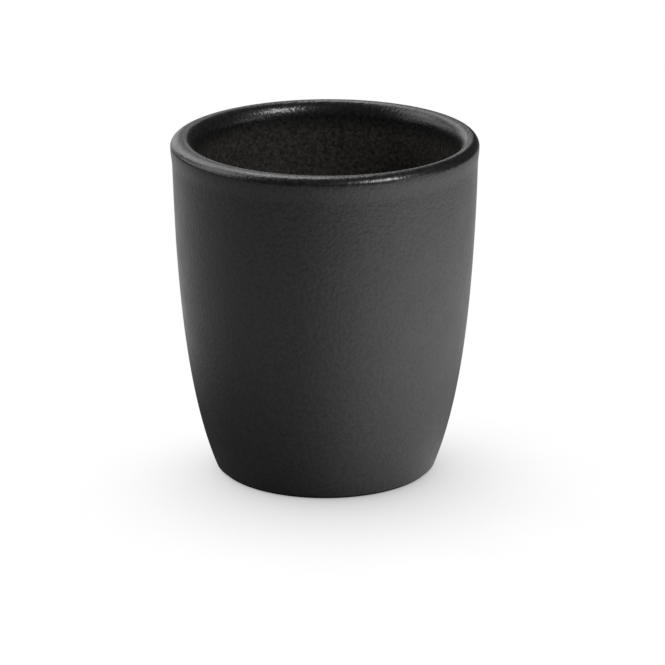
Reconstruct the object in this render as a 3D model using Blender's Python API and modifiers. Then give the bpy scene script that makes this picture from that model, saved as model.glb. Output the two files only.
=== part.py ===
"""Handleless espresso cup: a turned stoneware body under three coats of black glaze.

Sizes are in millimetres until they become mesh points, and +Z is up. The origin is
the middle of the foot, on the table. An outline is a list of (radius, height) points
that runs with the clay on its right: out along the floor inside, up the inner wall,
over the lip, down the outer wall, and back to the axis under the foot.
"""

import math
from itertools import pairwise

import bpy
from mathutils import Vector
from mathutils.geometry import interpolate_bezier

MM = 0.001

# Overall form, measured over the fired glaze
CUP_HEIGHT = 67.1
LIP_RADIUS = 30.0
FOOT_RADIUS = 21.4

# Sweep of the outer wall: its lean at each end, and how far it holds that lean
FOOT_LEAN = math.radians(67.6)
LIP_LEAN = math.radians(88.6)
FOOT_HOLD = 16.5
LIP_HOLD = 22.0

# Lip with a steep rounding inside its crest and a flatter one outside, which swells a
# little past the wall
LIP_INNER_ROUND = 2.2
LIP_INNER_DROP = 3.0
LIP_OUTER_ROUND = 2.0
LIP_OUTER_DROP = 1.6
LIP_SWELL = 0.3
LIP_FLANK = 3.75
LIP_FLANK_HOLD = 1.5

# Wall and floor, glaze included
WALL = 3.9
FLOOR = 5.0
FLOOR_FILLET = 9.0

# Bare clay foot ring, and the hollow inside it
FOOT_FILLET = 0.6
FOOT_RING = 3.4
HOLLOW_DEPTH = 1.6
HOLLOW_COVE = 2.4

# Glaze coats: the bed is the clear gap that parts a coat from the clay under it
GLAZE = 0.35
GLAZE_BED = 0.05
GLAZE_SEAM = 0.1
GLAZE_STOP = 0.7

# Fineness of the turned solids, and the distance within which two points are one
TURN_STEPS = 48
WALL_STEPS = 9
FLANK_STEPS = 3
ROUND_STEPS = 5
TOLERANCE = 0.001

# Finishes: linear colour and roughness
CLAY_COLOUR = (0.024, 0.021, 0.019, 1.0)
CLAY_ROUGHNESS = 0.85
GLAZE_COLOUR = (0.008, 0.0078, 0.0072, 1.0)
GLAZE_ROUGHNESS = 0.45


def heading(angle):
    """Unit step at an angle above the table, pointing outwards."""
    return Vector((math.cos(angle), math.sin(angle)))


def arc(centre, radii, start, end):
    """Elliptical arc round a centre, from one angle to another."""
    points = []
    for step in range(ROUND_STEPS + 1):
        angle = start + (end - start) * step / ROUND_STEPS
        points.append(centre + Vector((radii[0] * math.cos(angle), radii[1] * math.sin(angle))))
    return points


def inset(points, depth):
    """Outline moved into the clay by an even depth, or out of it where depth is negative."""
    normals = []
    for start, end in pairwise(points):
        along = (end - start).normalized()
        normals.append(Vector((along.y, -along.x)))
    before = [normals[0]] + normals
    after = normals + [normals[-1]]
    return [
        point + (first + second) * (depth / (1 + first.dot(second)))
        for point, first, second in zip(points, before, after)
    ]


def clip(points, low, high=math.inf):
    """Stretch of an outline between two heights, cut exactly at each."""
    cut = [points[0]]
    for start, end in pairwise(points):
        bottom, top = sorted((start.y, end.y))
        for level in (high, low):
            if bottom + TOLERANCE < level < top - TOLERANCE:
                cut.append(start.lerp(end, (level - start.y) / (end.y - start.y)))
        cut.append(end)
    return [point for point in cut if low - TOLERANCE <= point.y <= high + TOLERANCE]


def wall_top():
    """Point where the swell of the lip has died away into the outer wall."""
    return Vector((LIP_RADIUS - LIP_SWELL, CUP_HEIGHT - LIP_OUTER_DROP - LIP_FLANK))


def outer_wall():
    """Glazed outer wall, from under the lip down to the table."""
    top = wall_top()
    bottom = Vector((FOOT_RADIUS, 0))
    top_handle = top - LIP_HOLD * heading(LIP_LEAN)
    bottom_handle = bottom + FOOT_HOLD * heading(FOOT_LEAN)
    return interpolate_bezier(top, top_handle, bottom_handle, bottom, WALL_STEPS + 1)


def inner_wall():
    """Glazed inside, from the middle of the floor, round its fillet and up to the lip."""
    floor_top = HOLLOW_DEPTH + FLOOR
    wall = outer_wall()
    face = inset(wall, WALL)
    centres = inset(wall, WALL + FLOOR_FILLET)
    level = floor_top + FLOOR_FILLET
    last = max(index for index, point in enumerate(centres) if point.y > level)
    share = (centres[last].y - level) / (centres[last].y - centres[last + 1].y)
    centre = centres[last].lerp(centres[last + 1], share)
    touch = face[last].lerp(face[last + 1], share) - centre
    radii = (FLOOR_FILLET, FLOOR_FILLET)
    fillet = arc(centre, radii, -math.pi / 2, math.atan2(touch.y, touch.x))
    return [Vector((0, floor_top))] + fillet + face[last::-1]


def lip():
    """Glazed lip, from its inner side over the crest and down the flank to the wall."""
    crest = LIP_RADIUS - LIP_OUTER_ROUND
    inner_centre = Vector((crest, CUP_HEIGHT - LIP_INNER_DROP))
    outer_centre = Vector((crest, CUP_HEIGHT - LIP_OUTER_DROP))
    inner = arc(inner_centre, (LIP_INNER_ROUND, LIP_INNER_DROP), math.pi, math.pi / 2)
    outer = arc(outer_centre, (LIP_OUTER_ROUND, LIP_OUTER_DROP), math.pi / 2, 0)
    widest = outer[-1]
    flank_end = wall_top()
    widest_handle = widest - Vector((0, LIP_FLANK_HOLD))
    end_handle = flank_end + LIP_FLANK_HOLD * heading(LIP_LEAN)
    flank = interpolate_bezier(widest, widest_handle, end_handle, flank_end, FLANK_STEPS + 1)
    return inner + outer[1:] + flank[1:]


def foot(wall_end):
    """Bare clay foot, from the end of the clay wall round to the inside of the ring."""
    corner = wall_end - heading(FOOT_LEAN) * (wall_end.y / math.sin(FOOT_LEAN))
    tangent = FOOT_FILLET * math.tan(FOOT_LEAN / 2)
    centre = Vector((corner.x - tangent, FOOT_FILLET))
    radii = (FOOT_FILLET, FOOT_FILLET)
    fillet = arc(centre, radii, FOOT_LEAN - math.pi / 2, -math.pi / 2)
    return fillet + [Vector((centre.x - FOOT_RING, 0))]


def hollow(ring_end):
    """Clay hollow inside the foot ring, from the ring to the axis."""
    centre = ring_end - Vector((HOLLOW_COVE, 0))
    cove = arc(centre, (HOLLOW_COVE, HOLLOW_DEPTH), 0, math.pi / 2)
    return cove + [Vector((0, HOLLOW_DEPTH))]


def coat(face):
    """Outline of a glaze coat from its outer face, starting on the axis if it meets it."""
    back = inset(face, GLAZE)[::-1]
    if face[-1].x < TOLERANCE:
        return back + face
    return face + back


def fired(name, colour, roughness):
    """Fired ceramic surface of one colour and roughness."""
    material = bpy.data.materials.new(name)
    material.use_nodes = True
    material.diffuse_color = colour
    shader = material.node_tree.nodes["Principled BSDF"]
    shader.inputs["Base Color"].default_value = colour
    shader.inputs["Roughness"].default_value = roughness
    shader.inputs["Metallic"].default_value = 0.0
    return material


def turned(name, outline, material, collection):
    """Solid turned round +Z from an outline that starts and ends on the axis, or is a ring."""
    points = [(point.x * MM, 0, point.y * MM) for point in outline]
    edges = list(pairwise(range(len(points))))
    if outline[0].x > TOLERANCE:
        edges.append((len(points) - 1, 0))
    mesh = bpy.data.meshes.new(name)
    mesh.from_pydata(points, edges, [])
    mesh.materials.append(material)
    piece = bpy.data.objects.new(name, mesh)
    collection.objects.link(piece)
    screw = piece.modifiers.new("Turn", "SCREW")
    screw.axis = "Z"
    screw.angle = math.tau
    screw.steps = TURN_STEPS
    screw.render_steps = TURN_STEPS
    screw.use_merge_vertices = True
    screw.merge_threshold = TOLERANCE * MM
    screw.use_smooth_shade = True
    return piece


def main():
    """Model the cup as its clay body and the coats of glaze fired onto it."""
    for old in list(bpy.data.objects):
        bpy.data.objects.remove(old, do_unlink=True)
    cup = bpy.data.collections.new("espresso_cup")
    bpy.context.scene.collection.children.link(cup)

    inside = inner_wall() + lip()
    outside = clip(outer_wall(), GLAZE_STOP)
    clay_face = inset(inside + outside[1:], GLAZE + GLAZE_BED)
    ring = foot(clay_face[-1])
    under = hollow(ring[-1])
    clay = fired("dark_stoneware", CLAY_COLOUR, CLAY_ROUGHNESS)
    turned("stoneware_body", clay_face + ring + under[1:], clay, cup)

    seam = wall_top().y - GLAZE_SEAM
    coats = {
        "liner_glaze": inside,
        "outer_glaze": clip(outside, GLAZE_STOP, seam),
        "base_glaze": inset(clip(under, GLAZE_STOP), -GLAZE - GLAZE_BED),
    }
    for name, face in coats.items():
        turned(name, coat(face), fired(name, GLAZE_COLOUR, GLAZE_ROUGHNESS), cup)


main()
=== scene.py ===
"""Espresso cup, dressed: satin black glaze on a turned stoneware body, on a white sheet.

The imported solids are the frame. Each one is replaced by a finely turned piece of the same
sizes, which a Geometry Nodes wheel makes from its outline. Sizes are in millimetres in the
classes and become metres in the meshes. An outline is a list of (radius, height) points that
runs with the clay on its right: out along the floor inside, up the inner wall, over the lip,
down the outer wall, and back to the axis under the foot.
"""

import logging
import math
from dataclasses import dataclass, field
from enum import Enum
from itertools import pairwise
from typing import Any

import bpy
from mathutils import Matrix, Vector
from mathutils.geometry import interpolate_bezier

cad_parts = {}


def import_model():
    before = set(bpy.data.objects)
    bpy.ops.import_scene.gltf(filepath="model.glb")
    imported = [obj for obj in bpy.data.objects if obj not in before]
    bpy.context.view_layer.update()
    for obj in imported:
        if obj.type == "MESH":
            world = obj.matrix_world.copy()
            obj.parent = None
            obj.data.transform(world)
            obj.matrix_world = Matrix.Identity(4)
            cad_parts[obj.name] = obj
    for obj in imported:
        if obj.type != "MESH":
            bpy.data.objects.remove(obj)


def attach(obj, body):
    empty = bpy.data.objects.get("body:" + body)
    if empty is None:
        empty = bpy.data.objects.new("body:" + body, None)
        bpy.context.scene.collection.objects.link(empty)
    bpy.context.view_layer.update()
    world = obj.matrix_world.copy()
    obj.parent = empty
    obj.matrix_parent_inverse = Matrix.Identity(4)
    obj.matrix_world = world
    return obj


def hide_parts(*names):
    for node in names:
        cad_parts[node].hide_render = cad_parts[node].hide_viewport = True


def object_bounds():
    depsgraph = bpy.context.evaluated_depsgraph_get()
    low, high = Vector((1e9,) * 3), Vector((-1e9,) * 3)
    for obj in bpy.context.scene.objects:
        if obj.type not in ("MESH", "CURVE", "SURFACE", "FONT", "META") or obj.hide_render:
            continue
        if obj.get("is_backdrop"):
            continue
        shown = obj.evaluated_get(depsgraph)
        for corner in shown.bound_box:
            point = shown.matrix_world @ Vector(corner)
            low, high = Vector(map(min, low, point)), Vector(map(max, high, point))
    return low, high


MM = 0.001
BODY = "root"
LOG = logging.getLogger("espresso_cup")

# Radius within which a point of an outline is on the axis
ON_AXIS = 0.001

Outline = list[Vector]


class Layer(Enum):
    """Layers of the cup, each by the name of the solid that it replaces."""

    CLAY = "stoneware_body"
    LINER = "liner_glaze"
    OUTER = "outer_glaze"
    BASE = "base_glaze"

    def slot(self) -> str:
        """Name of the material slot that goes with the layer."""
        return "dark_stoneware" if self is Layer.CLAY else self.value


def linear(colour: str) -> tuple[float, float, float, float]:
    """Turn an sRGB hex colour into linear RGBA.

    Args:
        colour: Hex colour such as "#1a1918".

    Returns:
        Linear red, green and blue, and an alpha of 1.
    """
    channels = []
    for start in (1, 3, 5):
        value = int(colour[start:start + 2], 16) / 255
        channels.append(value / 12.92 if value <= 0.04045 else ((value + 0.055) / 1.055) ** 2.4)
    return (*channels, 1.0)


def add_node(tree: bpy.types.NodeTree, kind: str, inputs: dict[str | int, Any] | None = None,
             **settings: Any) -> bpy.types.Node:
    """Add a node with its settings, and set or link its inputs.

    Args:
        tree: The tree that takes the node.
        kind: The node's type name.
        inputs: Socket name or number to a value, or to the output that feeds it.
        settings: Properties of the node.

    Returns:
        The new node.
    """
    node = tree.nodes.new(kind)
    for name, value in settings.items():
        setattr(node, name, value)
    for key, value in (inputs or {}).items():
        socket = node.inputs[key]
        if isinstance(value, bpy.types.NodeSocket):
            tree.links.new(value, socket)
        else:
            socket.default_value = value
    return node


def new_material(name: str) -> tuple[bpy.types.Material, bpy.types.NodeTree]:
    """Make an empty material and give its node tree.

    Args:
        name: The material's name.

    Returns:
        The material and its tree, with no nodes in it.
    """
    material = bpy.data.materials.new(name)
    material.use_nodes = True
    material.node_tree.nodes.clear()
    return material, material.node_tree


@dataclass(frozen=True)
class SatinGlaze:
    """Satin black stoneware glaze, fired to a fine eggshell skin.

    To the eye it is a near-black with soft, broad reflections. Fine grains break up a highlight
    into sparks, and slow changes of gloss keep the wall from looking sprayed. On the liner the
    inside of the cup is painted a shade paler, as painted light, and it goes back to its own
    darker colour over the lip.
    """

    name: str
    # The glaze's own colour, and the stretch of the grain's noise over which it turns to flecks
    colour: str = "#0d0d0d"
    fleck_colour: str = "#232323"
    fleck_spread: tuple[float, float] = (0.27, 0.73)
    # Painted light inside the cup: a paler colour and fleck colour, the radius and height of the
    # lip that it lies inside, and where it fades back to the glaze's own colour
    painted_lift_inside: tuple[float, float] | None = None
    painted_lift_colour: str = "#1f1e1d"
    painted_lift_fleck_colour: str = "#43413e"
    lift_fade_height: float = 3.0
    lift_fade_width: float = 0.6
    # Roughness from its glossiest to its dullest pools, and the stretch of their noise
    gloss: tuple[float, float] = (0.29, 0.36)
    gloss_spread: tuple[float, float] = (0.3, 0.7)
    pooling: float = 6.0
    ior: float = 1.5
    # Real grains measure about 0.1 mm. They are drawn coarser, so that they show at all.
    grain: float = 0.7
    grain_depth: float = 0.07

    def painted_lift(self, tree: bpy.types.NodeTree, place: bpy.types.NodeSocket,
                  flecks: bpy.types.NodeSocket, glaze_colour: bpy.types.NodeSocket) -> bpy.types.NodeSocket:
        """Paint the inside of the lip paler, as painted light that fades back to the glaze's own
        colour over it.

        Args:
            tree: The glaze's tree.
            place: Object coordinates.
            flecks: Share of the fleck's colour at a point.
            glaze_colour: The glaze's own colour.

        Returns:
            The glaze's colour, with the painted light inside the lip.
        """
        radius, height = self.painted_lift_inside
        lifted_colour = add_node(tree, "ShaderNodeMix", {
            "Factor": flecks, "A": linear(self.painted_lift_colour), "B": linear(self.painted_lift_fleck_colour)},
            data_type="RGBA")
        parts = add_node(tree, "ShaderNodeSeparateXYZ", {0: place})
        level = add_node(tree, "ShaderNodeVectorMath", {0: place, 1: (1.0, 1.0, 0.0)},
                         operation="MULTIPLY")
        reach = add_node(tree, "ShaderNodeVectorMath", {0: level.outputs[0]}, operation="LENGTH")
        risen = add_node(tree, "ShaderNodeMapRange", {
            "Value": parts.outputs["Z"], "From Min": (height - self.lift_fade_height) * MM,
            "From Max": height * MM})
        crossed = add_node(tree, "ShaderNodeMapRange", {
            "Value": reach.outputs["Value"], "From Min": radius * MM,
            "From Max": (radius + self.lift_fade_width) * MM})
        lift_faded = add_node(tree, "ShaderNodeMath", {0: risen.outputs[0], 1: crossed.outputs[0]},
                          operation="MAXIMUM")
        return add_node(tree, "ShaderNodeMix", {
            "Factor": lift_faded.outputs[0], "A": lifted_colour.outputs[2], "B": glaze_colour},
            data_type="RGBA").outputs[2]

    def material(self) -> bpy.types.Material:
        """Build the glaze's material.

        Returns:
            The material.
        """
        material, tree = new_material(self.name)
        place = add_node(tree, "ShaderNodeTexCoord").outputs["Object"]
        grains = add_node(tree, "ShaderNodeTexNoise", {
            "Vector": place, "Scale": 1 / (self.grain * MM), "Detail": 1.0, "Roughness": 0.6})
        pools = add_node(tree, "ShaderNodeTexNoise", {
            "Vector": place, "Scale": 1 / (self.pooling * MM), "Detail": 3.0, "Roughness": 0.6})
        flecks = add_node(tree, "ShaderNodeMapRange", {
            "Value": grains.outputs[0], "From Min": self.fleck_spread[0],
            "From Max": self.fleck_spread[1]}).outputs[0]
        colour = add_node(tree, "ShaderNodeMix", {
            "Factor": flecks, "A": linear(self.colour), "B": linear(self.fleck_colour)},
            data_type="RGBA").outputs[2]
        # Painted light: the inside of the cup is painted paler than the glaze's own colour
        if self.painted_lift_inside:
            colour = self.painted_lift(tree, place, flecks, colour)
        gloss = add_node(tree, "ShaderNodeMapRange", {
            "Value": pools.outputs[0], "From Min": self.gloss_spread[0],
            "From Max": self.gloss_spread[1], "To Min": self.gloss[0], "To Max": self.gloss[1]})
        skin = add_node(tree, "ShaderNodeBump", {
            "Height": grains.outputs[0], "Distance": self.grain_depth * MM})
        shader = add_node(tree, "ShaderNodeBsdfPrincipled", {
            "Base Color": colour, "Roughness": gloss.outputs[0], "IOR": self.ior,
            "Normal": skin.outputs[0]})
        add_node(tree, "ShaderNodeOutputMaterial", {"Surface": shader.outputs[0]})
        return material


@dataclass(frozen=True)
class BareStoneware:
    """Dark stoneware fired with no glaze: dry to the eye, with grains of grit in the body."""

    name: str = "bare_dark_stoneware"
    colour: str = "#2b2826"
    grit_colour: str = "#3a3531"
    grit_spread: tuple[float, float] = (0.35, 0.7)
    roughness: float = 0.85
    grit: float = 0.6
    grit_depth: float = 0.05

    def material(self) -> bpy.types.Material:
        """Build the bare clay's material.

        Returns:
            The material.
        """
        material, tree = new_material(self.name)
        place = add_node(tree, "ShaderNodeTexCoord").outputs["Object"]
        grit = add_node(tree, "ShaderNodeTexNoise", {
            "Vector": place, "Scale": 1 / (self.grit * MM), "Detail": 3.0, "Roughness": 0.65})
        spread = add_node(tree, "ShaderNodeMapRange", {
            "Value": grit.outputs[0], "From Min": self.grit_spread[0],
            "From Max": self.grit_spread[1]})
        body = add_node(tree, "ShaderNodeMix", {
            "Factor": spread.outputs[0], "A": linear(self.colour), "B": linear(self.grit_colour)},
            data_type="RGBA")
        skin = add_node(tree, "ShaderNodeBump", {
            "Height": grit.outputs[0], "Distance": self.grit_depth * MM})
        shader = add_node(tree, "ShaderNodeBsdfPrincipled", {
            "Base Color": body.outputs[2], "Roughness": self.roughness, "Normal": skin.outputs[0]})
        add_node(tree, "ShaderNodeOutputMaterial", {"Surface": shader.outputs[0]})
        return material


def heading(angle: float) -> Vector:
    """Unit step at an angle above the table, pointing outwards."""
    return Vector((math.cos(angle), math.sin(angle)))


def arc(centre: Vector, radii: tuple[float, float], start: float, end: float, steps: int) -> Outline:
    """Trace an elliptical arc.

    Args:
        centre: Centre of the ellipse.
        radii: Its radius outwards and its radius upwards.
        start: Angle of the first point.
        end: Angle of the last point.
        steps: Number of steps between them.

    Returns:
        The points from start to end.
    """
    points = []
    for step in range(steps + 1):
        angle = start + (end - start) * step / steps
        points.append(centre + Vector((radii[0] * math.cos(angle), radii[1] * math.sin(angle))))
    return points


def inset(points: Outline, depth: float) -> Outline:
    """Move an outline into the clay by an even depth, or out of it where depth is negative.

    Args:
        points: Outline with the clay on its right.
        depth: How far it moves.

    Returns:
        The moved outline, point for point.
    """
    normals = []
    for start, end in pairwise(points):
        along = (end - start).normalized()
        normals.append(Vector((along.y, -along.x)))
    before = [normals[0]] + normals
    after = normals + [normals[-1]]
    return [
        point + (first + second) * (depth / (1 + first.dot(second)))
        for point, first, second in zip(points, before, after)
    ]


def above(points: Outline, level: float) -> Outline:
    """Cut off the stretch of an outline that lies below a level.

    Args:
        points: Outline that crosses the level once at most.
        level: Height of the cut.

    Returns:
        The stretch above, with a point exactly on the cut.
    """
    kept = []
    for start, end in pairwise(points):
        if start.y >= level:
            kept.append(start)
        if (start.y - level) * (end.y - level) < 0:
            kept.append(start.lerp(end, (level - start.y) / (end.y - start.y)))
    if points[-1].y >= level:
        kept.append(points[-1])
    return kept


@dataclass
class CupForm:
    """Sizes of the cup over its fired glaze, and the outlines that follow from them."""

    height: float
    lip_radius: float
    foot_radius: float = 21.4
    # Sweep of the outer wall: its lean at each end, and how far it holds that lean
    foot_lean: float = math.radians(67.6)
    lip_lean: float = math.radians(88.6)
    foot_hold: float = 16.5
    lip_hold: float = 22.0
    # Lip with a steep rounding inside its crest and a flatter one outside, which swells a
    # little past the wall
    lip_inner_round: float = 2.2
    lip_inner_drop: float = 3.0
    lip_outer_round: float = 2.0
    lip_outer_drop: float = 1.6
    lip_swell: float = 0.3
    lip_flank: float = 3.75
    lip_flank_hold: float = 1.5
    # Wall and floor, glaze included
    wall: float = 3.9
    floor: float = 5.0
    floor_fillet: float = 9.0
    # Bare clay foot ring, and the hollow inside it
    foot_fillet: float = 0.6
    foot_ring: float = 3.4
    hollow_depth: float = 1.6
    hollow_cove: float = 2.4
    # Fineness of the outlines
    wall_steps: int = 64
    flank_steps: int = 12
    round_steps: int = 16

    def crest_radius(self) -> float:
        """Radius of the top of the lip."""
        return self.lip_radius - self.lip_outer_round

    def wall_top(self) -> Vector:
        """Point where the swell of the lip has died away into the outer wall."""
        return Vector((self.lip_radius - self.lip_swell,
                       self.height - self.lip_outer_drop - self.lip_flank))

    def outer_wall(self) -> Outline:
        """Glazed outer wall, from under the lip down to the table."""
        top = self.wall_top()
        bottom = Vector((self.foot_radius, 0))
        top_handle = top - self.lip_hold * heading(self.lip_lean)
        bottom_handle = bottom + self.foot_hold * heading(self.foot_lean)
        return interpolate_bezier(top, top_handle, bottom_handle, bottom, self.wall_steps + 1)

    def inner_wall(self) -> Outline:
        """Glazed inside, from the middle of the floor, round its fillet and up to the lip."""
        floor_top = self.hollow_depth + self.floor
        wall = self.outer_wall()
        face = inset(wall, self.wall)
        centres = inset(wall, self.wall + self.floor_fillet)
        level = floor_top + self.floor_fillet
        last = max(index for index, point in enumerate(centres) if point.y > level)
        share = (centres[last].y - level) / (centres[last].y - centres[last + 1].y)
        centre = centres[last].lerp(centres[last + 1], share)
        touch = face[last].lerp(face[last + 1], share) - centre
        radii = (self.floor_fillet, self.floor_fillet)
        turn = math.atan2(touch.y, touch.x)
        fillet = arc(centre, radii, -math.pi / 2, turn, self.round_steps)
        middle = Vector((0, floor_top))
        return [middle, middle.lerp(fillet[0], 0.5)] + fillet + face[last::-1]

    def lip(self) -> Outline:
        """Glazed lip, from its inner side over the crest and down the flank to the wall."""
        inner_centre = Vector((self.crest_radius(), self.height - self.lip_inner_drop))
        outer_centre = Vector((self.crest_radius(), self.height - self.lip_outer_drop))
        inner_radii = (self.lip_inner_round, self.lip_inner_drop)
        outer_radii = (self.lip_outer_round, self.lip_outer_drop)
        inner = arc(inner_centre, inner_radii, math.pi, math.pi / 2, self.round_steps)
        outer = arc(outer_centre, outer_radii, math.pi / 2, 0, self.round_steps)
        widest = outer[-1]
        flank_end = self.wall_top()
        flank = interpolate_bezier(
            widest, widest - Vector((0, self.lip_flank_hold)),
            flank_end + self.lip_flank_hold * heading(self.lip_lean), flank_end,
            self.flank_steps + 1)
        return inner + outer[1:] + flank[1:]

    def foot(self, wall_end: Vector) -> Outline:
        """Trace the bare clay foot.

        Args:
            wall_end: Lowest point of the clay wall under the glaze.

        Returns:
            Outline round the corner of the foot and across its ring.
        """
        corner = wall_end - heading(self.foot_lean) * (wall_end.y / math.sin(self.foot_lean))
        tangent = self.foot_fillet * math.tan(self.foot_lean / 2)
        centre = Vector((corner.x - tangent, self.foot_fillet))
        radii = (self.foot_fillet, self.foot_fillet)
        fillet = arc(centre, radii, self.foot_lean - math.pi / 2, -math.pi / 2, self.round_steps)
        return fillet + [Vector((centre.x - self.foot_ring, 0))]

    def hollow(self, ring_end: Vector) -> Outline:
        """Trace the clay hollow inside the foot ring.

        Args:
            ring_end: Inner edge of the ring, on the table.

        Returns:
            Outline from there to the axis.
        """
        centre = ring_end - Vector((self.hollow_cove, 0))
        radii = (self.hollow_cove, self.hollow_depth)
        cove = arc(centre, radii, 0, math.pi / 2, self.round_steps)
        return cove + [Vector((0, self.hollow_depth))]


@dataclass
class Wheel:
    """Potter's wheel: a Geometry Nodes tree that turns an outline into a closed piece."""

    form: CupForm
    turns: int = 192
    weld: float = 0.0005
    # Shift of the mouth off centre, and how far below the lip it has died away
    mouth_shift: float = 0.55
    mouth_reach: float = 22.0
    # Wobble of the fired clay: its swing, the length of its waves and its seed
    wobble: float = 0.04
    wobble_span: float = 30.0
    seed: float = 7.0
    sharp_edge: float = math.radians(40)
    tree: bpy.types.NodeTree = field(init=False)

    def __post_init__(self) -> None:
        """Build the tree, with an input for each thing that may be set."""
        tree = bpy.data.node_groups.new("potters_wheel", "GeometryNodeTree")
        for name, kind in (("Outline", "NodeSocketGeometry"), ("Turns", "NodeSocketInt"),
                           ("Rows", "NodeSocketInt"), ("Weld", "NodeSocketFloat"),
                           ("Mouth Shift", "NodeSocketFloat"), ("Crest Radius", "NodeSocketFloat"),
                           ("Lip Radius", "NodeSocketFloat"), ("Shift From", "NodeSocketFloat"),
                           ("Lip Height", "NodeSocketFloat"), ("Wobble", "NodeSocketFloat"),
                           ("Wobble Rate", "NodeSocketFloat"), ("Seed", "NodeSocketFloat"),
                           ("Finish", "NodeSocketMaterial")):
            tree.interface.new_socket(name, in_out="INPUT", socket_type=kind)
        tree.interface.new_socket("Piece", in_out="OUTPUT", socket_type="NodeSocketGeometry")
        given = add_node(tree, "NodeGroupInput")
        place = add_node(tree, "GeometryNodeInputPosition").outputs[0]
        level = add_node(tree, "ShaderNodeVectorMath", {0: place, 1: (1.0, 1.0, 0.0)},
                         operation="MULTIPLY").outputs[0]
        thrown = self.thrown(tree, given, place)
        wobble = self.wobbled(tree, given, place, level)
        shift = self.shifted(tree, given, place, level)
        offset = add_node(tree, "ShaderNodeVectorMath", {0: wobble, 1: shift}, operation="ADD")
        warped = add_node(tree, "GeometryNodeSetPosition", {
            "Geometry": thrown, "Offset": offset.outputs[0]})
        smooth = add_node(tree, "GeometryNodeSetShadeSmooth", {"Geometry": warped.outputs[0]})
        real = add_node(tree, "GeometryNodeRealizeInstances", {"Geometry": smooth.outputs[0]})
        dressed = add_node(tree, "GeometryNodeSetMaterial", {
            "Geometry": real.outputs[0], "Material": given.outputs["Finish"]})
        add_node(tree, "NodeGroupOutput", {"Piece": dressed.outputs[0]})
        self.tree = tree

    def thrown(self, tree: bpy.types.NodeTree, given: bpy.types.Node,
               place: bpy.types.NodeSocket) -> bpy.types.NodeSocket:
        """Turn the outline about the axis into a closed surface.

        Args:
            tree: The wheel's tree.
            given: Its input node.
            place: Position of a point.

        Returns:
            The surface, with its seam and its poles merged.
        """
        # A flat sheet, a column for each turn and a row for each point of the outline
        turns = given.outputs["Turns"]
        rows = given.outputs["Rows"]
        columns = add_node(tree, "ShaderNodeMath", {0: turns, 1: 1.0}, operation="ADD")
        sheet = add_node(tree, "GeometryNodeMeshGrid", {
            "Size X": 1.0, "Size Y": 1.0, "Vertices X": columns.outputs[0], "Vertices Y": rows})
        across = add_node(tree, "ShaderNodeSeparateXYZ", {0: place})
        angle = add_node(tree, "ShaderNodeMapRange", {
            "Value": across.outputs["X"], "From Min": -0.5, "From Max": 0.5,
            "To Min": 0.0, "To Max": -math.tau})
        last = add_node(tree, "ShaderNodeMath", {0: rows, 1: 1.0}, operation="SUBTRACT")
        share = add_node(tree, "ShaderNodeMapRange", {
            "Value": across.outputs["Y"], "From Min": -0.5, "From Max": 0.5,
            "To Min": 0.0, "To Max": last.outputs[0]})
        row = add_node(tree, "FunctionNodeFloatToInt", {0: share.outputs[0]}, rounding_mode="ROUND")

        # Each row goes to its point of the outline, and each column to its angle
        point = add_node(tree, "GeometryNodeSampleIndex", {
            "Geometry": given.outputs["Outline"], "Value": place, "Index": row.outputs[0]},
            data_type="FLOAT_VECTOR")
        turned = add_node(tree, "ShaderNodeVectorRotate", {
            "Vector": point.outputs[0], "Angle": angle.outputs[0]}, rotation_type="Z_AXIS")
        surface = add_node(tree, "GeometryNodeSetPosition", {
            "Geometry": sheet.outputs["Mesh"], "Position": turned.outputs[0]})
        return add_node(tree, "GeometryNodeMergeByDistance", {
            "Geometry": surface.outputs[0], "Distance": given.outputs["Weld"]}).outputs[0]

    def wobbled(self, tree: bpy.types.NodeTree, given: bpy.types.Node, place: bpy.types.NodeSocket,
                level: bpy.types.NodeSocket) -> bpy.types.NodeSocket:
        """Work out the slow wobble outwards and inwards that thrown and fired clay has.

        Args:
            tree: The wheel's tree.
            given: Its input node.
            place: Position of a point.
            level: The level part of that position.

        Returns:
            The offset of a point.
        """
        outward = add_node(tree, "ShaderNodeVectorMath", {0: level}, operation="NORMALIZE")
        waves = add_node(tree, "ShaderNodeTexNoise", {
            "Vector": place, "W": given.outputs["Seed"], "Scale": given.outputs["Wobble Rate"],
            "Detail": 1.0}, noise_dimensions="4D")
        swing = add_node(tree, "ShaderNodeMath", {0: waves.outputs[0], 1: 0.5}, operation="SUBTRACT")
        reach = add_node(tree, "ShaderNodeMath", {0: swing.outputs[0], 1: given.outputs["Wobble"]},
                         operation="MULTIPLY")
        return add_node(tree, "ShaderNodeVectorMath", {
            0: outward.outputs[0], "Scale": reach.outputs[0]}, operation="SCALE").outputs[0]

    def shifted(self, tree: bpy.types.NodeTree, given: bpy.types.Node, place: bpy.types.NodeSocket,
                level: bpy.types.NodeSocket) -> bpy.types.NodeSocket:
        """Work out how far the mouth stands off centre, which makes one side of the lip thicker.

        Args:
            tree: The wheel's tree.
            given: Its input node.
            place: Position of a point.
            level: The level part of that position.

        Returns:
            The offset of a point.
        """
        radius = add_node(tree, "ShaderNodeVectorMath", {0: level}, operation="LENGTH")
        inside = add_node(tree, "ShaderNodeMapRange", {
            "Value": radius.outputs["Value"], "From Min": given.outputs["Crest Radius"],
            "From Max": given.outputs["Lip Radius"], "To Min": given.outputs["Mouth Shift"],
            "To Max": 0.0}, interpolation_type="SMOOTHSTEP")
        up = add_node(tree, "ShaderNodeSeparateXYZ", {0: place})
        near_lip = add_node(tree, "ShaderNodeMapRange", {
            "Value": up.outputs["Z"], "From Min": given.outputs["Shift From"],
            "From Max": given.outputs["Lip Height"]}, interpolation_type="SMOOTHSTEP")
        aside = add_node(tree, "ShaderNodeMath", {0: inside.outputs[0], 1: near_lip.outputs[0]},
                         operation="MULTIPLY")
        return add_node(tree, "ShaderNodeCombineXYZ", {"X": aside.outputs[0]}).outputs[0]

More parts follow.
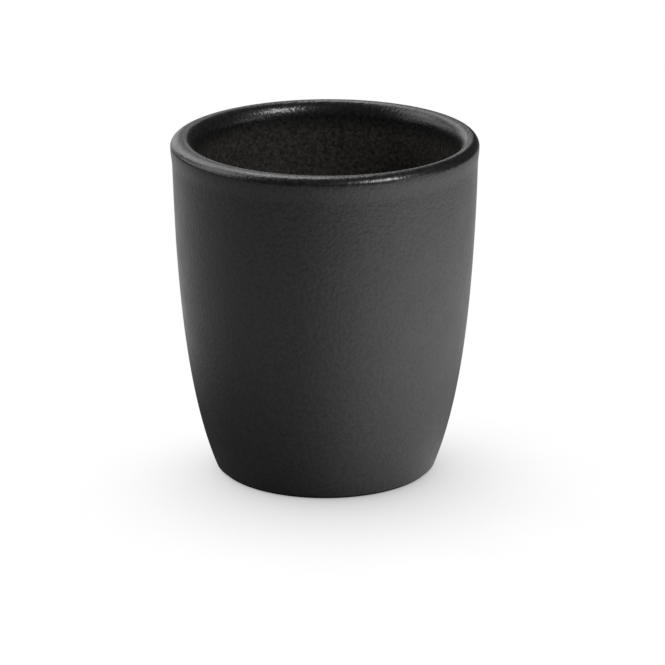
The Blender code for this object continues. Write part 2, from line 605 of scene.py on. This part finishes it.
    def turn(self, name: str, outline: Outline, finish: bpy.types.Material) -> bpy.types.Object:
        """Turn one piece and leave it as a plain mesh.

        Args:
            name: The piece's name.
            outline: Its outline in millimetres.
            finish: Its material.

        Returns:
            The piece, at the origin, with no modifier left.
        """
        mesh = bpy.data.meshes.new(name)
        mesh.from_pydata([(point.x * MM, 0, point.y * MM) for point in outline], [], [])
        piece = bpy.data.objects.new(name, mesh)
        bpy.context.scene.collection.objects.link(piece)
        modifier = piece.modifiers.new("Wheel", "NODES")
        modifier.node_group = self.tree
        values = {"Turns": self.turns, "Rows": len(outline), "Weld": self.weld * MM,
                  "Mouth Shift": self.mouth_shift * MM,
                  "Crest Radius": self.form.crest_radius() * MM,
                  "Lip Radius": self.form.lip_radius * MM,
                  "Shift From": (self.form.height - self.mouth_reach) * MM,
                  "Lip Height": self.form.height * MM,
                  "Wobble": self.wobble * MM, "Wobble Rate": 1 / (self.wobble_span * MM),
                  "Seed": self.seed, "Finish": finish}
        for item in self.tree.interface.items_tree:
            if item.in_out == "INPUT" and item.name in values:
                modifier[item.identifier] = values[item.name]
        shaped = piece.evaluated_get(bpy.context.evaluated_depsgraph_get())
        piece.data = bpy.data.meshes.new_from_object(shaped)
        piece.modifiers.clear()
        piece.data.name = name
        piece.data.set_sharp_from_angle(angle=self.sharp_edge)
        return piece


@dataclass
class Cup:
    """The clay body and the three coats of glaze that are fired onto it."""

    form: CupForm
    wheel: Wheel
    # Glaze coats: their thickness, the clear gap to the clay, and where they stop over the table
    glaze: float = 0.35
    glaze_bed: float = 0.05
    glaze_stop: float = 0.7
    edge_steps: int = 8

    def rolled_edge(self, face_end: Vector, back_end: Vector) -> Outline:
        """Round off the edge where a coat stops, as surface tension leaves it.

        Args:
            face_end: Last point of the coat's face.
            back_end: Point under it, on the clay.

        Returns:
            The points between the two, round a half circle.
        """
        centre = (face_end + back_end) / 2
        spoke = face_end - centre
        start = math.atan2(spoke.y, spoke.x)
        radii = (spoke.length, spoke.length)
        return arc(centre, radii, start, start - math.pi, self.edge_steps)[1:-1]

    def coat(self, face: Outline, rolled: bool) -> Outline:
        """Close a glaze coat along its clay side.

        Args:
            face: The coat's outer face, with the clay on its right.
            rolled: Whether the edge at the foot is rounded.

        Returns:
            Outline of the coat, which starts and ends on the axis or is a ring.
        """
        back = inset(face, self.glaze)[::-1]
        if face[-1].x < ON_AXIS:
            return back + self.rolled_edge(back[-1], face[0]) + face
        edge = self.rolled_edge(face[-1], back[0]) if rolled else []
        if face[0].x < ON_AXIS:
            return face + edge + back
        return face + edge + back + face[:1]

    def outlines(self) -> dict[Layer, Outline]:
        """Outline of each layer."""
        inside = self.form.inner_wall() + self.form.lip()
        outside = above(self.form.outer_wall(), self.glaze_stop)
        clay = inset(inside + outside[1:], self.glaze + self.glaze_bed)
        ring = self.form.foot(clay[-1])
        under = self.form.hollow(ring[-1])
        base = inset(above(under, self.glaze_stop), -self.glaze - self.glaze_bed)
        return {
            Layer.CLAY: clay + ring + under[1:],
            Layer.LINER: self.coat(inside, rolled=False),
            Layer.OUTER: self.coat(above(outside, self.glaze_stop + self.glaze / 2), rolled=True),
            Layer.BASE: self.coat(base, rolled=True),
        }

    def finish(self, layer: Layer) -> bpy.types.Material:
        """Make the material of a layer.

        Args:
            layer: The layer.

        Returns:
            Its material.
        """
        if layer is Layer.CLAY:
            return BareStoneware().material()
        name = f"satin_black_{layer.value}"
        if layer is Layer.LINER:
            # The liner gets the painted light that makes the inside of the cup paler
            lip = (self.form.crest_radius(), self.form.height - self.form.lip_inner_drop)
            return SatinGlaze(name, painted_lift_inside=lip).material()
        return SatinGlaze(name).material()

    def build(self) -> list[bpy.types.Object]:
        """Turn and dress every layer, hang it on the cup's body, and hide the solid that it replaces.

        Returns:
            The pieces.
        """
        pieces = []
        for layer, outline in self.outlines().items():
            piece = self.wheel.turn(f"turned_{layer.value}", outline, self.finish(layer))
            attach(piece, BODY)
            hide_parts(layer.value)
            layer.slot()
            pieces.append(piece)
        return pieces


@dataclass(frozen=True)
class Softbox:
    """Softbox on a stand: a soft oblong of light aimed at the cup.

    Its azimuth, anticlockwise from +X, and its elevation are in degrees. The camera stands at
    an azimuth of 270.
    """

    name: str
    azimuth: float
    elevation: float
    width: float
    height: float
    radiance: float
    reach: float = 900.0

    def build(self, target: Vector) -> None:
        """Hang the softbox in its place.

        Args:
            target: Point that it is aimed at, in metres.
        """
        data = bpy.data.lights.new(self.name, "AREA")
        data.shape = "RECTANGLE"
        data.size = self.width * MM
        data.size_y = self.height * MM
        data.energy = math.pi * data.size * data.size_y * self.radiance
        lamp = bpy.data.objects.new(self.name, data)
        round_angle = math.radians(self.azimuth)
        up_angle = math.radians(self.elevation)
        away = Vector((math.cos(up_angle) * math.cos(round_angle),
                       math.cos(up_angle) * math.sin(round_angle), math.sin(up_angle)))
        lamp.location = target + away * self.reach * MM
        lamp.rotation_euler = (-away).to_track_quat("-Z", "Y").to_euler()
        bpy.context.scene.collection.objects.link(lamp)


@dataclass
class Sheet:
    """White paper sheet under the cup, which gives off its own light.

    The sheet glows with painted light, and no lamp lights it. The camera sees it white, with a
    painted shadow round the foot that leans to the front. The glaze sees painted light and shade
    on it: a painted pool of light on the window side, the cup's painted shadow on the far side,
    and a paler painted ground again beyond that.
    """

    size: float = 6000.0
    # Painted shadow round the foot: its reach, its darkest tone, how open a point is where it is
    # white again, how much it leans and to which side, and the power that deepens it for the glaze
    contact_samples: int = 16
    contact_reach: float = 60.0
    contact: float = 0.38
    contact_white: float = 0.81
    contact_lean: float = 0.6
    contact_azimuth: float = math.radians(282)
    contact_felt: float = 1.4
    # Painted pool of light: where it starts to fade and where it ends, its level all round, and the
    # painted beam on the window side
    pool: tuple[float, float] = (160.0, 600.0)
    dim: float = 0.48
    beam: float = 1.4
    beam_azimuth: float = math.radians(334)
    # Painted shadow that the glaze sees: where it starts to fade and where it ends, and the painted
    # level that is added on its side
    shadow: tuple[float, float] = (25.0, 110.0)
    beyond: float = 0.22
    shadow_azimuth: float = math.radians(113)

    def felt(self, tree: bpy.types.NodeTree, facing: dict[float, bpy.types.NodeSocket],
             far: bpy.types.NodeSocket, contact: bpy.types.NodeSocket) -> bpy.types.NodeSocket:
        """Work out the painted light and shadow that the glaze gets from the glowing sheet.

        Args:
            tree: The sheet's tree.
            facing: How much a point lies towards each azimuth.
            far: Its distance from the cup's axis.
            contact: How open it is, from 0 under the foot to 1.

        Returns:
            The strength of that light.
        """
        # Painted light from the window side, in a pool about the cup
        toward = add_node(tree, "ShaderNodeMath", {0: facing[self.beam_azimuth], 1: 0.0},
                          operation="MAXIMUM")
        square = add_node(tree, "ShaderNodeMath", {0: toward.outputs[0], 1: 2.0}, operation="POWER")
        lit = add_node(tree, "ShaderNodeMath", {
            0: square.outputs[0], 1: self.beam, 2: self.dim}, operation="MULTIPLY_ADD")
        pool = add_node(tree, "ShaderNodeMapRange", {
            "Value": far, "From Min": self.pool[0] * MM, "From Max": self.pool[1] * MM,
            "To Min": 1.0, "To Max": 0.0}, interpolation_type="SMOOTHSTEP")
        pooled = add_node(tree, "ShaderNodeMath", {0: lit.outputs[0], 1: pool.outputs[0]},
                          operation="MULTIPLY")

        # Painted paler ground beyond the painted shadow, and that painted shadow, deepest next to the
        # foot
        behind = add_node(tree, "ShaderNodeMath", {0: facing[self.shadow_azimuth], 1: 0.0},
                          operation="MAXIMUM")
        bright = add_node(tree, "ShaderNodeMath", {
            0: behind.outputs[0], 1: self.beyond, 2: pooled.outputs[0]}, operation="MULTIPLY_ADD")
        cover = add_node(tree, "ShaderNodeMapRange", {
            "Value": facing[self.shadow_azimuth], "From Min": -1.0, "From Max": 1.0})
        shade = add_node(tree, "ShaderNodeMapRange", {
            "Value": far, "From Min": self.shadow[0] * MM, "From Max": self.shadow[1] * MM,
            "To Min": cover.outputs[0], "To Max": 0.0}, interpolation_type="SMOOTHSTEP")
        unshaded = add_node(tree, "ShaderNodeMath", {0: 1.0, 1: shade.outputs[0]},
                            operation="SUBTRACT")
        shaded = add_node(tree, "ShaderNodeMath", {0: bright.outputs[0], 1: unshaded.outputs[0]},
                          operation="MULTIPLY")
        near = add_node(tree, "ShaderNodeMath", {0: contact, 1: self.contact_felt}, operation="POWER")
        return add_node(tree, "ShaderNodeMath", {0: shaded.outputs[0], 1: near.outputs[0]},
                        operation="MULTIPLY").outputs[0]

    def seen(self, tree: bpy.types.NodeTree, front: bpy.types.NodeSocket,
             contact: bpy.types.NodeSocket) -> bpy.types.NodeSocket:
        """Work out what the camera sees: white, with a painted shadow that is darker where the foot
        is near.

        Args:
            tree: The sheet's tree.
            front: How much a point lies on the side that the shadow leans to.
            contact: How open it is, from 0 under the foot to 1.

        Returns:
            The strength of the white.
        """
        lean = add_node(tree, "ShaderNodeMath", {0: front, 1: self.contact_lean, 2: 1.0},
                        operation="MULTIPLY_ADD")
        leaning = add_node(tree, "ShaderNodeMath", {0: contact, 1: lean.outputs[0]},
                           operation="POWER")
        return add_node(tree, "ShaderNodeMapRange", {
            "Value": leaning.outputs[0], "From Min": 0.0, "From Max": self.contact_white,
            "To Min": self.contact, "To Max": 1.0}).outputs[0]

    def material(self) -> bpy.types.Material:
        """Build the sheet's material.

        Returns:
            The material.
        """
        # The sheet only glows: its pool of light and its shadows are painted into that glow
        material, tree = new_material("glowing_sheet_with_painted_shadow")
        place = add_node(tree, "ShaderNodeTexCoord").outputs["Object"]
        away = add_node(tree, "ShaderNodeVectorMath", {0: place}, operation="NORMALIZE")
        far = add_node(tree, "ShaderNodeVectorMath", {0: place}, operation="LENGTH")
        facing = {}
        for side in (self.beam_azimuth, self.shadow_azimuth, self.contact_azimuth):
            direction = (math.cos(side), math.sin(side), 0.0)
            facing[side] = add_node(tree, "ShaderNodeVectorMath", {0: away.outputs[0], 1: direction},
                                    operation="DOT_PRODUCT").outputs["Value"]
        contact = add_node(tree, "ShaderNodeAmbientOcclusion", {
            "Distance": self.contact_reach * MM}, samples=self.contact_samples).outputs["AO"]
        path = add_node(tree, "ShaderNodeLightPath")
        strength = add_node(tree, "ShaderNodeMix", {
            "Factor": path.outputs["Is Camera Ray"],
            "A": self.felt(tree, facing, far.outputs["Value"], contact),
            "B": self.seen(tree, facing[self.contact_azimuth], contact)})
        glow = add_node(tree, "ShaderNodeEmission", {"Strength": strength.outputs[0]})
        add_node(tree, "ShaderNodeOutputMaterial", {"Surface": glow.outputs[0]})
        return material

    def build(self) -> bpy.types.Object:
        """Lay the sheet on the table.

        Returns:
            The sheet.
        """
        half = self.size / 2 * MM
        mesh = bpy.data.meshes.new("white_sheet")
        mesh.from_pydata([(-half, -half, 0), (half, -half, 0), (half, half, 0), (-half, half, 0)],
                         [], [(0, 1, 2, 3)])
        mesh.materials.append(self.material())
        sheet = bpy.data.objects.new("white_sheet", mesh)
        bpy.context.scene.collection.objects.link(sheet)
        return sheet


@dataclass
class Studio:
    """Soft lights, a dim room and the camera.

    The camera's distance and elevation are taken from a point on the cup's axis at the height
    of its aim, and its pitch, yaw and roll turn it from there.
    """

    distance: float = 774.0
    aim: float = 33.75
    elevation: float = math.radians(17.722)
    pitch: float = math.radians(18.19)
    yaw: float = math.radians(-0.11)
    roll: float = math.radians(-0.1)
    lens: float = 213.2
    near_limit: float = 10.0
    room: float = 0.04
    softboxes: tuple[Softbox, ...] = (
        Softbox("window_softbox", 318, 39, 200, 180, 40.0),
        Softbox("right_low_softbox", 340, 6, 400, 190, 2.9),
        Softbox("left_softbox", 170, 41, 500, 380, 3.2),
        Softbox("left_low_softbox", 170, 17, 1100, 220, 1.9),
        Softbox("left_back_softbox", 140, 57, 360, 350, 1.6),
        Softbox("back_high_softbox", 100, 57, 360, 350, 4.8),
        Softbox("back_left_softbox", 120, 35, 330, 320, 2.7),
        Softbox("back_softbox", 95, 35, 330, 320, 0.7),
        Softbox("back_low_softbox", 113, 11, 390, 380, 1.4),
        Softbox("behind_softbox", 90, 11, 190, 150, 1.3),
    )

    def camera(self) -> None:
        """Place the camera as the photograph saw the cup."""
        data = bpy.data.cameras.new("camera")
        data.lens = self.lens
        data.clip_start = self.near_limit * MM
        camera = bpy.data.objects.new("camera", data)
        camera.location = Vector((0, -self.distance * math.cos(self.elevation),
                                  self.aim + self.distance * math.sin(self.elevation))) * MM
        turn = (Matrix.Rotation(self.yaw, 3, "Z") @ Matrix.Rotation(math.pi / 2 - self.pitch, 3, "X")
                @ Matrix.Rotation(self.roll, 3, "Z"))
        camera.rotation_euler = turn.to_euler()
        bpy.context.scene.collection.objects.link(camera)
        bpy.context.scene.camera = camera

    def world(self) -> None:
        """Surround the set with a dim room, which the camera sees as white."""
        world = bpy.data.worlds.new("studio")
        world.use_nodes = True
        tree = world.node_tree
        path = add_node(tree, "ShaderNodeLightPath")
        strength = add_node(tree, "ShaderNodeMix", {
            "Factor": path.outputs["Is Camera Ray"], "A": self.room, "B": 1.0})
        backdrop = tree.nodes["Background"]
        backdrop.inputs["Color"].default_value = (1, 1, 1, 1)
        tree.links.new(strength.outputs[0], backdrop.inputs["Strength"])
        bpy.context.scene.world = world

    def build(self, middle: float) -> None:
        """Set up the lights, the room and the camera.

        Args:
            middle: Height of the cup's middle.
        """
        for softbox in self.softboxes:
            softbox.build(Vector((0, 0, middle * MM)))
        self.world()
        self.camera()
        bpy.context.scene.view_settings.view_transform = "Standard"


def main() -> None:
    """Load the frame, turn and dress each layer, and set up the studio."""
    logging.basicConfig(level=logging.INFO, format="%(message)s")
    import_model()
    low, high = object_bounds()
    form = CupForm(height=high[2] / MM, lip_radius=high[0] / MM)
    for piece in Cup(form, Wheel(form)).build():
        LOG.info("%s: %d faces", piece.name, len(piece.data.polygons))
    Sheet().build()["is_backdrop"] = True
    Studio().build(form.height / 2)
    low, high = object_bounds()


if __name__ == "__main__":
    main()
